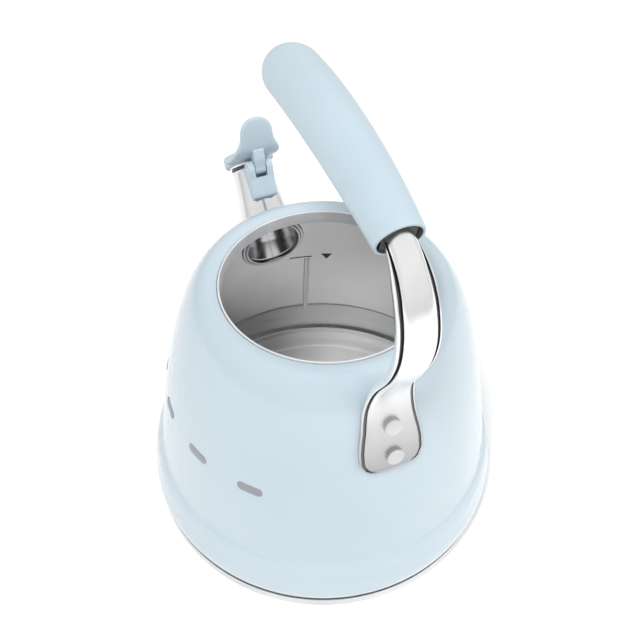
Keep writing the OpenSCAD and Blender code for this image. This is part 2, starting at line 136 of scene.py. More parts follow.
BAND_LOW = [(98.9, SHELL_Z), (BAND_R - 0.3, SHELL_Z + 0.6), (BAND_R + 1.1, 14.5), (BAND_R - 1.4, 24)]
BAND_TOP = [(BAND_R - 1.4, 24), (BAND_R - 2.4, 31.5), (97.6, 35.8), (WALL_R + 0.9, 37.6)]
WALL = [(WALL_R, WALL_Z), (88, 77), (75.4, RIM_Z + 11), (RIM_R, RIM_Z)]
wall_curve = bezier(WALL, np.linspace(0, 1, 400))
rising = wall_curve[: int(wall_curve[:, 1].argmax())]


def wall_radius(z, out=0.0):
    """Radius of the wall at a height, on its outside moved out by so much."""
    moved = shift(rising, out)
    return np.interp(z, moved[:, 1], moved[:, 0])


def wall_lean(z):
    """Angle in radians that the wall leans in from the vertical."""
    return math.atan2(float(wall_radius(z - 1) - wall_radius(z + 1)), 2)


# ---------------------------------------------------------------- meshes
def make(name, verts, faces, sharp=35.0, weld=0.0):
    """A mesh object from millimetres, with its faces turned outwards and smooth between sharp edges."""
    mesh = bpy.data.meshes.new(name)
    mesh.from_pydata([tuple(v) for v in np.asarray(verts, float) * MM], [], [tuple(f) for f in faces])
    bm = bmesh.new()
    bm.from_mesh(mesh)
    bmesh.ops.remove_doubles(bm, verts=bm.verts, dist=max(weld, 1e-7))
    bmesh.ops.recalc_face_normals(bm, faces=bm.faces)
    bm.to_mesh(mesh)
    bm.free()
    obj = bpy.data.objects.new(name, mesh)
    bpy.context.scene.collection.objects.link(obj)
    shade(obj, sharp)
    return obj


def shade(obj, sharp=35.0):
    obj.data.shade_smooth()
    obj.data.set_sharp_from_angle(angle=math.radians(sharp))


def grid_faces(rows, cols, wrap_rows=False):
    faces = []
    for i in range(rows if wrap_rows else rows - 1):
        j = (i + 1) % rows
        for k in range(cols):
            m = (k + 1) % cols
            faces.append((i * cols + k, i * cols + m, j * cols + m, j * cols + k))
    return faces


def loft(rings, caps=True, closed=False):
    """Vertices and faces of a skin over rings that each hold the same number of points."""
    rings = [np.asarray(r, float) for r in rings]
    rows, cols = len(rings), len(rings[0])
    faces = grid_faces(rows, cols, wrap_rows=closed)
    if caps and not closed:
        faces.append(tuple(range(cols))[::-1])
        faces.append(tuple((rows - 1) * cols + k for k in range(cols)))
    return np.vstack(rings), faces


def lathe(profile, segments=96, frame4=None, closed=True):
    """Vertices and faces of a profile of (radius, height) turned about Z, or about frame4's Z."""
    a = np.linspace(0, 2 * math.pi, segments, endpoint=False)
    rings = [np.stack([r * np.cos(a), r * np.sin(a), np.full(segments, z)], 1) for r, z in profile]
    verts, faces = loft(rings, caps=False, closed=closed)
    return place(verts, frame4), faces


def gather(parts):
    """Vertices and faces of several meshes as one."""
    verts, faces = [], []
    for v, f in parts:
        faces += [tuple(k + len(verts) for k in face) for face in f]
        verts += [tuple(p) for p in v]
    return verts, faces


def place(verts, frame4):
    if frame4 is None:
        return verts
    f = np.array(frame4)
    return np.asarray(verts) @ f[:3, :3].T + f[:3, 3]


def frame_of(origin, x, z):
    """A 4 by 4 frame with its X along x and its Z along z."""
    x, z = Vector(x).normalized(), Vector(z).normalized()
    y = z.cross(x)
    m = Matrix.Identity(4)
    for i, axis in enumerate((x, y, z)):
        m[0][i], m[1][i], m[2][i] = axis
    m[0][3], m[1][3], m[2][3] = origin
    return m


def prism(outline, half, frame4=None):
    """An outline in local X and Z pushed half each way along local Y."""
    o = np.asarray(outline, float)
    rings = [np.stack([o[:, 0], np.full(len(o), s * half), o[:, 1]], 1) for s in (-1, 1)]
    verts, faces = loft(rings)
    return place(verts, frame4), faces


def cylinder(radius, low, high, frame4, segments=64):
    """A closed cylinder between two heights on frame4's Z."""
    return lathe([(0, low), (radius, low), (radius, high), (0, high)], segments, frame4, closed=False)


def apply_modifiers(obj):
    graph = bpy.context.evaluated_depsgraph_get()
    graph.update()
    mesh = bpy.data.meshes.new_from_object(obj.evaluated_get(graph))
    obj.modifiers.clear()
    old = obj.data
    obj.data = mesh
    bpy.data.meshes.remove(old)
    return obj


def combine(obj, cutters=(), joined=()):
    """obj with the joined meshes added to it and the cutters taken from it; both are used up."""
    for parts, operation in ((joined, "UNION"), (cutters, "DIFFERENCE")):
        for n, part in enumerate(parts):
            tool = make(f"tool_{operation}_{n}", *part)
            mod = obj.modifiers.new("combine", "BOOLEAN")
            mod.operation, mod.solver, mod.object = operation, "EXACT", tool
            apply_modifiers(obj)
            mesh = tool.data
            bpy.data.objects.remove(tool)
            bpy.data.meshes.remove(mesh)
    return obj


def melt(obj, voxel, rounds, factor=0.5):
    """Rebuilds obj on a fine grid and smooths it, so that its edges turn into moulded fillets."""
    mod = obj.modifiers.new("grid", "REMESH")
    mod.mode, mod.voxel_size, mod.use_smooth_shade = "VOXEL", voxel * MM, True
    mod = obj.modifiers.new("soften", "SMOOTH")
    mod.factor, mod.iterations = factor, rounds
    apply_modifiers(obj)
    shade(obj, 180)
    return obj


def two_materials(obj, first, second, is_second):
    """The second material on the faces whose numbers pass the test, and the first on the others."""
    obj.data.materials.append(first)
    obj.data.materials.append(second)
    for n, p in enumerate(obj.data.polygons):
        p.material_index = int(is_second(n))


def finish_piece(obj, body, slot, material, *replaced):
    """Gives a piece its material and its body, and hides the CAD nodes that it stands for; slot is not used."""
    if material is not None:
        obj.data.materials.clear()
        obj.data.materials.append(material)
    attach(obj, body)
    if replaced:
        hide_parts(*replaced)
    return obj


# ---------------------------------------------------------------- materials
class Shader:
    """A Principled material that is built node by node."""

    def __init__(self, name, **sockets):
        self.mat = bpy.data.materials.new(name)
        self.mat.use_nodes = True
        self.tree = self.mat.node_tree
        self.bsdf = self.tree.nodes["Principled BSDF"]
        for key, value in sockets.items():
            self.bsdf.inputs[key.replace("_", " ")].default_value = value
        self.coords = self.tree.nodes.new("ShaderNodeTexCoord").outputs["Object"]

    def node(self, kind, inputs=None, **settings):
        n = self.tree.nodes.new(kind)
        for key, value in settings.items():
            setattr(n, key, value)
        for key, value in (inputs or {}).items():
            if isinstance(value, bpy.types.NodeSocket):
                self.tree.links.new(value, n.inputs[key])
            else:
                n.inputs[key].default_value = value
        return n

    def math(self, operation, *values):
        return self.node("ShaderNodeMath", dict(enumerate(values)), operation=operation).outputs[0]

    def scaled(self, x, y, z, vector=None):
        return self.node("ShaderNodeVectorMath", {0: vector or self.coords, 1: (x, y, z)},
                         operation="MULTIPLY").outputs[0]

    def noise(self, scale, detail=3.0, roughness=0.5, vector=None):
        return self.node("ShaderNodeTexNoise", {"Vector": vector or self.coords, "Scale": scale, "Detail": detail,
                                                "Roughness": roughness}).outputs["Fac"]

    def span(self, value, low, high, from_low=0.0, from_high=1.0):
        return self.node("ShaderNodeMapRange", {"Value": value, "From Min": from_low, "From Max": from_high,
                                                "To Min": low, "To Max": high}).outputs[0]

    def mix(self, factor, a, b):
        n = self.node("ShaderNodeMix", data_type="RGBA")
        for key, value in ((0, factor), (6, a), (7, b)):
            if isinstance(value, bpy.types.NodeSocket):
                self.tree.links.new(value, n.inputs[key])
            else:
                n.inputs[key].default_value = value if key == 0 else (*value, 1)
        return n.outputs[2]

    def set(self, **links):
        for key, value in links.items():
            self.tree.links.new(value, self.bsdf.inputs[key.replace("_", " ")])

    def bump(self, height, distance, strength=1.0, under=None):
        inputs = {"Height": height, "Distance": distance * MM, "Strength": strength}
        if under is not None:
            inputs["Normal"] = under
        return self.node("ShaderNodeBump", inputs).outputs[0]

    def ring_coords(self, around, up, out):
        """Coordinates that run round the Z axis, up it and out from it, so grain follows a lathe's turning."""
        parts = self.node("ShaderNodeSeparateXYZ", {0: self.coords})
        x, y, z = parts.outputs
        angle = self.math("ARCTAN2", y, x)
        radius = self.math("SQRT", self.math("ADD", self.math("MULTIPLY", x, x), self.math("MULTIPLY", y, y)))
        return self.node("ShaderNodeCombineXYZ", {0: self.math("MULTIPLY", angle, around),
                                                  1: self.math("MULTIPLY", z, up),
                                                  2: self.math("MULTIPLY", radius, out)}).outputs[0]


def enamel_material():
    """Glossy pale blue with a faint orange peel."""
    s = Shader("enamel_blue", Roughness=0.16, Coat_Weight=0.55, Coat_Roughness=0.045, Coat_IOR=1.5, IOR=1.5)
    drift = s.noise(9.0, 2.0)
    fine = s.noise(1400.0, 2.0)
    s.set(Base_Color=s.mix(s.span(drift, 0, 1, 0.3, 0.7), (0.455, 0.545, 0.605), (0.485, 0.575, 0.635)))
    s.set(Roughness=s.span(fine, 0.13, 0.22))
    peel = s.bump(s.noise(420.0, 1.0), 0.012)
    s.set(Normal=s.bump(fine, 0.002, under=peel))
    return s.mat


def soft_material():
    """Pale blue soft-touch plastic with a fine grain."""
    s = Shader("soft_blue", Roughness=0.42, IOR=1.46, Sheen_Weight=0.12, Sheen_Roughness=0.4)
    drift = s.noise(22.0, 3.0)
    grain = s.noise(2600.0, 2.0, 0.6)
    s.set(Base_Color=s.mix(s.span(drift, 0, 1, 0.3, 0.7), (0.44, 0.535, 0.595), (0.47, 0.565, 0.625)))
    s.set(Roughness=s.span(grain, 0.36, 0.5))
    s.set(Normal=s.bump(grain, 0.012, under=s.bump(s.noise(160.0, 1.0), 0.01)))
    return s.mat


def polished_material(name="polished_steel", color=(0.80, 0.80, 0.81), soft=0.06):
    """Steel like a mirror, with faint smears."""
    s = Shader(name, Metallic=1.0, Roughness=0.08)
    smear = s.noise(45.0, 4.0, 0.6)
    fine = s.noise(900.0, 3.0, 0.6, s.scaled(1.0, 1.0, 0.12))
    duller = tuple(0.94 * c for c in color)
    s.set(Base_Color=s.mix(s.span(smear, 0, 1, 0.35, 0.65), duller, color))
    s.set(Roughness=s.math("ADD", s.span(smear, soft, soft + 0.06, 0.3, 0.7), s.span(fine, 0.0, 0.03)))
    s.set(Normal=s.bump(fine, 0.0012))
    return s.mat


def handle_material():
    """Polished steel, rougher down at the riveted plate, with painted reflection and shade that darkens its colour
    there.
    """
    s = Shader("handle_steel", Metallic=1.0, Roughness=0.12)
    height = s.node("ShaderNodeSeparateXYZ", {0: s.coords}).outputs[2]
    up = s.span(height, 0, 1, 0.150, 0.185)
    smear = s.noise(60.0, 4.0, 0.6)
    fine = s.noise(900.0, 3.0, 0.6, s.scaled(1.0, 1.0, 0.12))
    # Painted reflection and shade: the base colour falls from 0.9 up the strap to 0.42 down at the plate.
    s.set(Base_Color=s.mix(s.span(height, 0, 1, 0.106, 0.156), (0.42, 0.42, 0.425), (0.9, 0.9, 0.905)))
    s.set(Roughness=s.math("ADD", s.span(up, 0.38, 0.24), s.span(smear, -0.02, 0.04, 0.3, 0.7)))
    s.set(Normal=s.bump(fine, 0.0012))
    return s.mat


def satin_material(name, color, low, high, around, up, out, depth, metallic=1.0):
    """Steel with fine turning lines round the kettle's axis."""
    s = Shader(name, Metallic=metallic, Roughness=0.3)
    lines = s.noise(1.0, 5.0, 0.62, s.ring_coords(around, up, out))
    cloud = s.noise(26.0, 3.0)
    s.set(Base_Color=s.mix(s.span(cloud, 0, 1, 0.3, 0.7), tuple(0.9 * c for c in color), color))
    s.set(Roughness=s.math("ADD", s.span(lines, low, high, 0.3, 0.7), s.span(cloud, -0.03, 0.03)))
    s.set(Normal=s.bump(lines, depth))
    return s.mat


def matt_material(name, color, roughness=0.6, grain_scale=1800.0, depth=0.01, metallic=0.0):
    """A plain surface with a fine grain."""
    s = Shader(name, Roughness=roughness, Metallic=metallic)
    grain = s.noise(grain_scale, 3.0, 0.6)
    drift = s.noise(60.0, 2.0)
    s.set(Base_Color=s.mix(s.span(drift, 0, 1, 0.3, 0.7), tuple(0.85 * c for c in color), color))
    s.set(Roughness=s.span(grain, roughness - 0.08, roughness + 0.1))
    s.set(Normal=s.bump(grain, depth))
    return s.mat


enamel = enamel_material()
soft_blue = soft_material()
polished = polished_material()
inside_steel = satin_material("inside_steel", (0.80, 0.80, 0.80), 0.2, 0.27, 9.0, 2400.0, 2400.0, 0.00012)
pan_steel = satin_material("pan_steel", (0.96, 0.96, 0.96), 0.34, 0.46, 2.0, 1500.0, 1500.0, 0.001, 0.25)
dark_polish = polished_material("spout_steel", (0.66, 0.66, 0.67), 0.17)
plate_steel = satin_material("plate_steel", (0.70, 0.70, 0.70), 0.16, 0.3, 2.0, 1800.0, 1800.0, 0.003)
handle_steel = handle_material()
# Near-black steel on the strap's grooves and along the plate's lower edge: painted shade and reflection.
groove_painted_shade = matt_material("groove_painted_shade", (0.16, 0.16, 0.165), 0.34, 900.0, 0.002, 1.0)
rivet_steel = matt_material("rivet_steel", (0.66, 0.66, 0.66), 0.3, 900.0, 0.003, 1.0)
aluminium = matt_material("spun_aluminium", (0.80, 0.80, 0.82), 0.36, 700.0, 0.004, 1.0)
silicone = matt_material("dark_silicone", (0.035, 0.035, 0.04), 0.55)
# Dark grey painted shade for the recess of the grip's socket.
socket_painted_shade = matt_material("socket_painted_shade", (0.13, 0.13, 0.135), 0.5)
collar_steel = matt_material("collar_steel", (0.80, 0.81, 0.83), 0.38, 900.0, 0.002, 0.35)
seal_grey = matt_material("seal_silicone", (0.16, 0.16, 0.165), 0.5)
nylon = matt_material("dark_nylon", (0.03, 0.03, 0.032), 0.5)
mark_grey = matt_material("mark_grey", (0.30, 0.31, 0.33), 0.42, 1200.0, 0.002)
print_black = matt_material("level_print", (0.05, 0.05, 0.05), 0.5, 2000.0, 0.001)


# ---------------------------------------------------------------- vessel
def vessel():
    """The shell of the vessel, enamelled outside and bare inside, with the spout's hole."""
    outside = np.vstack([bezier(BAND_LOW, np.linspace(0, 1, 22)), bezier(BAND_TOP, np.linspace(0, 1, 16))[1:],
                         [(WALL_R + 0.2, 38.6)], bezier(WALL, np.linspace(0, 1, 90)),
                         arc((RIM_R, RIM_Z - LIP_R), LIP_R, 110, 180, 8), [(RIM_R - LIP_R, RIM_Z - 4)]])
    inside = shift(outside, -SHEET)[::-1]
    profile = np.vstack([outside, inside])
    segments = 256
    verts, faces = lathe(profile, segments)
    obj = make("vessel_shell", verts, faces, sharp=50)
    two_materials(obj, enamel, inside_steel, lambda n: n // segments >= len(outside) - 1)
    hole = cylinder(SPOUT_ROOT_R - 0.2, -20, 10, SPOUT)
    combine(obj, cutters=[hole])
    shade(obj, 40)
    return finish_piece(obj, KETTLE, "enamel", None, "body_shell")


def ring_piece(name, profile, slot, material, node, body=KETTLE, frame4=None, segments=256):
    """A turned piece that stands for one CAD node."""
    verts, faces = lathe(profile, segments, frame4)
    return finish_piece(make(name, verts, faces, weld=1e-6), body, slot, material, node)


def rim_collar():
    """The bare ring that lines the opening, with a bead on top."""
    out = RIM_R - LIP_R - 0.05
    bead = arc((out - 0.55, RIM_Z - 0.15), 0.5, 0, 180, 8)
    profile = np.vstack([[(OPENING_R, RIM_Z - COLLAR_DEPTH), (out, RIM_Z - COLLAR_DEPTH)], bead])
    return ring_piece("rim_steel", profile, "satin_steel", collar_steel, "rim_collar")


def base_pan():
    """The stepped bottom inside the vessel."""
    floor, ring = 84.0, 89.0
    z, t, step = PAN_Z, PAN_T, PAN_STEP
    top = spline([(0.01, z + t), (30, z + t), (60, z + t), (floor - 1.6, z + t), (floor - 0.4, z + t + 0.2),
                  (floor + 0.6, z + t + step - 0.2), (floor + 1.8, z + t + step), (ring - 1.4, z + t + step),
                  (ring - 0.2, z + t + step - 0.1), (ring + 1.2, z + t + 0.6), (ring + 2.6, z + t + 0.5),
                  (PAN_R - 3.0, z + t + 0.5), (PAN_R - 1.6, z + t + 0.9), (PAN_R - PAN_T, z + t + 2.2),
                  (PAN_R - PAN_T, 10)], 120)
    low = [(PAN_R, 10), (PAN_R, z + 0.5), (ring, z + 0.1), (0.01, z)]
    return ring_piece("base_pan_floor", np.vstack([top, low]), "satin_steel", pan_steel, "base_pan")


def base_plate():
    """The cap under the bottom, with two turned grooves below and a rolled edge."""
    c, t = 2.0, 0.8
    under = [(0.01, 0), (22, 0), (22.4, 0.25), (23.4, 0.25), (23.8, 0), (70, 0), (70.4, 0.25), (71.4, 0.25),
             (71.8, 0), (PLATE_R - c, 0)]
    corner = arc((PLATE_R - c, c), c, -90, 0, 10)
    top = [(PLATE_R, PLATE_H - 0.35), (PLATE_R - 0.15, PLATE_H - 0.08), (PLATE_R - t / 2, PLATE_H),
           (PLATE_R - t + 0.1, PLATE_H - 0.1), (PLATE_R - t, PLATE_H - 0.4), (PLATE_R - t, c),
           (PLATE_R - c, t), (0.01, t)]
    return ring_piece("base_cap", np.vstack([under, corner, top]), "satin_steel", plate_steel, "base_plate")


# ---------------------------------------------------------------- spout
spout_dir = Vector((math.cos(SPOUT_ANGLE), 0, math.sin(SPOUT_ANGLE)))
spout_up = Vector((-math.sin(SPOUT_ANGLE), 0, math.cos(SPOUT_ANGLE)))
SPOUT = frame_of((SPOUT_X, 0, SPOUT_Z), spout_up, spout_dir)
spout4 = np.array(SPOUT)


def tube_radius(t):
    """Outer radius of the spout so far along it."""
    k = np.clip(1 - np.asarray(t, float) / SPOUT_LEN, 0, None)
    return SPOUT_MOUTH_R + (SPOUT_ROOT_R - SPOUT_MOUTH_R) * np.minimum(k, 1) ** 1.5


def spout_point(radius, angle, t):
    """A point round the spout's axis, so far along it."""
    local = np.array([radius * math.cos(angle), radius * math.sin(angle), t, 1.0])
    return (spout4 @ local)[:3]


def meets_wall(radius_at, angle, out):
    """How far along the spout its surface, or a ring round it, meets the wall moved out by so much."""
    low, high = -22.0, 14.0
    for _ in range(30):
        mid = (low + high) / 2
        x, y, z = spout_point(float(radius_at(mid)), angle, mid)
        if math.hypot(x, y) > wall_radius(z, out):
            high = mid
        else:
            low = mid
    return (low + high) / 2


def spout_tube():
    """The tube from its weld on the wall out to the rolled mouth, and back down its inside."""
    segments, rows = 128, 44
    rings = []
    angles = np.linspace(0, 2 * math.pi, segments, endpoint=False)
    starts = [meets_wall(tube_radius, a, 0.02) for a in angles]
    inner_starts = [meets_wall(lambda t: tube_radius(t) - SPOUT_T, a, 0.02) for a in angles]
    for i in range(rows):
        k = (i / (rows - 1)) ** 1.6
        ring = []
        for a, t0 in zip(angles, starts):
            t = t0 + (SPOUT_LEN - 1.4 - t0) * k
            weld = 1.3 * math.exp(-((t - t0) / 1.1))
            ring.append(spout_point(float(tube_radius(t)) + weld, a, t))
        rings.append(ring)
    for r, t in arc((SPOUT_MOUTH_R - 0.35, SPOUT_LEN - 0.75), 0.75, -35, 180, 12):
        rings.append([spout_point(r + 0.1, a, t) for a in angles])
    for i in range(rows):
        k = 1 - (i / (rows - 1)) ** 0.7
        ring = []
        for a, t0 in zip(angles, inner_starts):
            t = t0 + (SPOUT_LEN - 1.4 - t0) * k
            ring.append(spout_point(float(tube_radius(t)) - SPOUT_T, a, t))
        rings.append(ring)
    verts, faces = loft(rings, closed=True)
    obj = make("spout_body", verts, faces, sharp=50)
    two_materials(obj, polished, dark_polish, lambda n: n // segments > rows + 9)
    return finish_piece(obj, KETTLE, "polished_steel", None, "spout_tube")


def spout_collar():
    """The rolled ring that follows the wall's curve round the spout's hole, inside the vessel."""
    segments = 128
    angles = np.linspace(0, 2 * math.pi, segments, endpoint=False)
    profile = [(15.7, 0.0), (15.6, 0.7), (15.75, 1.3), (16.3, 1.7), (17.0, 1.65), (17.6, 1.25), (17.9, 0.95),
               (18.4, 0.9), (18.9, 0.75), (19.15, 0.4), (19.2, 0.06), (18.0, 0.05), (16.5, 0.05)]
    rings = []
    for r, h in spline(profile, 48):
        ring = []
        for a in angles:
            t = meets_wall(lambda _: r, a, -SHEET)
            p = spout_point(r, a, t)
            lean = wall_lean(p[2])
            side = math.atan2(p[1], p[0])
            inward = -np.array([math.cos(side) * math.cos(lean), math.sin(side) * math.cos(lean), math.sin(lean)])
            ring.append(p + inward * h)
        rings.append(ring)
    verts, faces = loft(rings, closed=True)
    obj = make("spout_inner_ring", verts, faces, sharp=50)
    return finish_piece(obj, KETTLE, "polished_steel", polished, "spout_collar")


# ---------------------------------------------------------------- whistle bracket and cap
PIN = Vector((SPOUT_X, 0, SPOUT_Z)) + spout_dir * PIN_T + spout_up * PIN_U
PIN_X, PIN_Z = PIN.x, PIN.z
SIDE = frame_of((SPOUT_X, 0, SPOUT_Z), spout_dir, spout_up)      # local X along the spout, Z up from it
AT_PIN = frame_of(PIN, (1, 0, 0), (0, 1, 0))
tube_outside = lathe([(0, -14), *[(float(tube_radius(t)) + 0.05, t) for t in np.linspace(-14, SPOUT_LEN, 40)],
                      (0, SPOUT_LEN)], 96, SPOUT, closed=False)


def whistle_bracket():
    """The saddle on the spout, with a slot between its two ears."""
    outline = np.vstack([[(22.5, 8), (22.5, 15.4), (22.9, 16.0), (24, 16.6), (28, 17.9), (PIN_T - 6.5, PIN_U + 1.2)],
                         arc((PIN_T, PIN_U), EAR_R, 128, -20, 14),
                         [(PIN_T + 2.2, PIN_U - 5), (PIN_T + 2.2, 8)]])
    obj = make("whistle_saddle", *prism(outline, BRACKET_W / 2 - 0.1, SIDE))
    slot = [(PIN_T - 5.8, 13.4), (PIN_T - 5.8, 34), (62, 34), (62, 13.4)]
    combine(obj, cutters=[prism(slot, TONGUE_W / 2 + 0.35, SIDE), tube_outside,
                          cylinder(PIN_R + 0.02, -20, 20, AT_PIN, 48)])
    melt(obj, 0.2, 5)
    return finish_piece(obj, KETTLE, "soft_blue", soft_blue, "whistle_bracket")


def lever_loft():
    """The thumb lever and the flared web that carries it over to the hood, as one curved plate."""
    path = spline([(2.9, LEVER_H), (1.9, 25), (1.3, 18), (1.5, 12.4), (3.7, 7.6), (8.0, 2.9), (12.4, -0.9),
                   (16.6, -4.6)], 64)
    s = np.linspace(0, 1, len(path))
    half_w = np.interp(s, [0, 0.25, 0.33, 0.42, 0.5, 0.6, 0.7, 1],
                       [LEVER_W / 2] * 2 + [10.3, 12.0, 13.3, 14.1, 14.4, 14.4])
    half_w = np.convolve(np.pad(half_w, 4, "edge"), np.ones(9) / 9, "valid")
    half_t = np.interp(s, [0, 0.3, 0.6, 1], [1.25, 1.7, 1.9, 1.8])
    rings = []
    round_end = 9.0
    for p, d, w, t, run in zip(path, headings(path), half_w, half_t, run_length(path)):
        k = math.sqrt(max(0.0, 1 - (1 - min(run / round_end, 1)) ** 2))
        w = max(w * k, 0.3)
        t = t * max(min(1.0, 0.35 + run / 1.6), 0.35)
        normal = np.array([d[1], -d[0]])
        ring = []
        for a in np.linspace(0, 2 * math.pi, 48, endpoint=False):
            c, q = math.cos(a), math.sin(a)
            y = w * math.copysign(abs(c) ** 0.35, c)
            n = t * math.copysign(abs(q) ** 0.6, q)
            ring.append((PIN_X + p[0] + n * normal[0], y, PIN_Z + p[1] + n * normal[1]))
        rings.append(ring)
    return loft(rings)


def whistle_cap():
    """Lever, hinge tongue and hood in one moulding, hollow where the whistle sits."""
    hood_z, hood_h, step = CUP_Z + 1.2, 7.0, 4.85
    bore, lip = WHISTLE_R + 0.05, WHISTLE_R - 1.8
    hood = [(0, 0), (HOOD_R - 0.5, 0), (HOOD_R, 0.7), (HOOD_R, hood_h - 2), (HOOD_R - 0.7, hood_h - 0.5),
            (HOOD_R - 2.2, hood_h), (0, hood_h)]
    hood = lathe([(r, z + hood_z) for r, z in hood], 96, SPOUT, closed=False)
    tongue = prism([(-3.5, 0.5), (-3.0, 7), (-1.2, 12), (2.4, 12), (6.5, 7), (3.6, 0.5)], TONGUE_W / 2,
                   frame_of(PIN, (1, 0, 0), (0, 0, 1)))
    knuckle = cylinder(EAR_R - 0.5, -TONGUE_W / 2 - 0.01, TONGUE_W / 2 + 0.01, AT_PIN)
    whistle_room = lathe([(0, 0), (bore, 0), (bore, hood_z + step), (lip, hood_z + step), (lip, 70), (0, 70)], 96,
                         SPOUT, closed=False)
    obj = make("thumb_cap", *lever_loft())
    combine(obj, joined=[tongue, knuckle, hood],
            cutters=[whistle_room, cylinder(PIN_R + 0.06, -20, 20, AT_PIN, 48)])
    melt(obj, 0.24, 6)
    return finish_piece(obj, FLAP, "soft_blue", soft_blue, "whistle_cap")


def whistle_insides():
    """The whistle's cup, the second disc in it and the seal on the spout's mouth."""
    t, r, hole, z = 0.6, WHISTLE_R, WHISTLE_HOLE_R, CUP_Z
    cup = [(hole, z), (r - 1.0, z), (r - 0.3, z + 0.3), (r, z + 1.0), (r, z + 5.9), (r - 0.3, z + 6.0),
           (r - t, z + 5.9), (r - t, z + 1.0), (r - 1.2, z + t), (hole, z + t)]
    ring_piece("whistle_body", cup, "polished_steel", polished, "whistle_cup", FLAP, SPOUT, 96)
    r, z = WHISTLE_R - t - 0.02, CUP_Z + 2.6
    disc = [(hole, z), (r, z), (r, z + t), (5.0, z + t), (3.4, z + t + 0.35), (hole + 0.5, z + t + 0.4),
            (hole, z + t + 0.2)]
    ring_piece("whistle_disc", disc, "polished_steel", polished, "whistle_plate", FLAP, SPOUT, 96)
    seal = np.vstack([arc((SPOUT_MOUTH_R - 0.35, SEAL_Z + 0.55), 0.55, -90, 90, 8),
                      arc((9.35, SEAL_Z + 0.55), 0.55, 90, 270, 8)])
    ring_piece("mouth_seal", seal, "silicone", seal_grey, "whistle_seal", FLAP, SPOUT, 96)


def hinge_pin():
    half = BRACKET_W / 2 - 0.12
    r = PIN_R
    pin = [(0.01, -half), (r - 0.35, -half), (r, -half + 0.3), (r, half - 0.3), (r - 0.35, half), (0.01, half)]
    ring_piece("hinge_axle", pin, "polished_steel", polished, "hinge_pin", KETTLE, AT_PIN, 48)


# ---------------------------------------------------------------- handle
STEM_A = [(-76.4, 131), (-73.5, 138), (-72.2, 147.5), (-77.5, 158.5)]
STEM_B = [(-77.5, 158.5), (-81.6, 167), (-90.6, 181), (-90.9, 196.5)]
STEM_C = [(-90.9, 196.5), (-91.1, 211), (-82.5, 228.5), (-68.6, 233.2)]
GRIP_LINE = [(-68, 233.5), (-38, 243), (16, 248.8), (55.5, 241.7)]

# Half the strap's width at each height: the spade of the plate, the neck and the run up to the grip.
OUTLINE = [(0, 16.6), (110, 16.6), (116, 16.5), (122, 15.7), (128, 14.5), (134, 13.7), (140, 13.0), (146, 12.1),
           (152, 11.2), (160, 10.4), (170, 9.5), (182, 9.7), (200, 9.7), (216, 9.3), (226, 8.6), (300, 8.6)]
FACE_POINTS = 41


def section(half_w, thick, flange, power, roundness):
    """Outline of the strap across its run, as (sideways, outward) points round its centre.

    A thin flange runs along both edges, a groove lies inside it, and the face between is raised and domed.
    Roundness blends the outline into an oval of the same size.
    """
    inner, rise = half_w - FLANGE_W - GROOVE_W, thick - flange
    face = [(inner * u, flange + rise * (1 - abs(u) ** power) ** 0.5)
            for u in np.sin(np.linspace(math.pi / 2, -math.pi / 2, FACE_POINTS))]
    low = 0.68 * flange
    left = [(-inner - 0.1, low), (-inner - 0.6, low - 0.05), (-half_w + FLANGE_W, low),
            (-half_w + FLANGE_W - 0.15, flange), (-half_w + 0.25, flange), (-half_w + 0.06, 0.88 * flange),
            (-half_w, 0.65 * flange), (-half_w, 0.35 * flange), (-half_w + 0.12, 0.12), (-half_w + 0.4, 0)]
    back = [(y, 0.0) for y in np.linspace(-half_w + 1, half_w - 1, 16)]
    pts = np.array(face + left + back + [(-y, n) for y, n in left[::-1]])
    pts[:, 1] -= thick / 2
    angle = np.arctan2(pts[:, 1] / (thick / 2), pts[:, 0] / half_w)
    oval = np.stack([half_w * np.cos(angle), thick / 2 * np.sin(angle)], 1)
    return pts * (1 - roundness) + oval * roundness


def resample(path, step):
    """The path with its points a step apart."""
    run = run_length(path)
    at = np.arange(0, run[-1], step)
    return np.stack([np.interp(at, run, path[:, 0]), np.interp(at, run, path[:, 1])], 1)


def strap_path():
    """Centre line of the strap, up the wall, out and over to the grip."""
    plate_z = np.linspace(PLATE_LOW, 130, 40)
    low = np.array([(-float(wall_radius(z, PLATE_IN + MOUNT_T / 2)), z) for z in plate_z])
    high = np.vstack([bezier(c, np.linspace(0, 1, 150)) for c in (STEM_A, STEM_B, STEM_C)])
    socket = bezier(GRIP_LINE, np.linspace(0.005, 0.055, 12))
    path = resample(np.vstack([low, high, socket]), 0.75)
    inside = np.arange(1, len(path) - 1)
    bends = inside[(path[inside, 1] > 108) & (path[inside, 1] < 160)]
    for smoothed in [bends] * 40 + [inside] * 12:
        path[smoothed] = (path[smoothed - 1] + 2 * path[smoothed] + path[smoothed + 1]) / 4
    # The plate's lower edge and round corners need points that are closer together.
    steps = np.concatenate([1 - np.cos(np.linspace(0, math.pi / 2, 14)), np.arange(1.2, 4, 0.2)])
    first = np.stack([np.interp(steps, range(len(path)), path[:, k]) for k in (0, 1)], 1)
    return np.vstack([first, path[4:]])


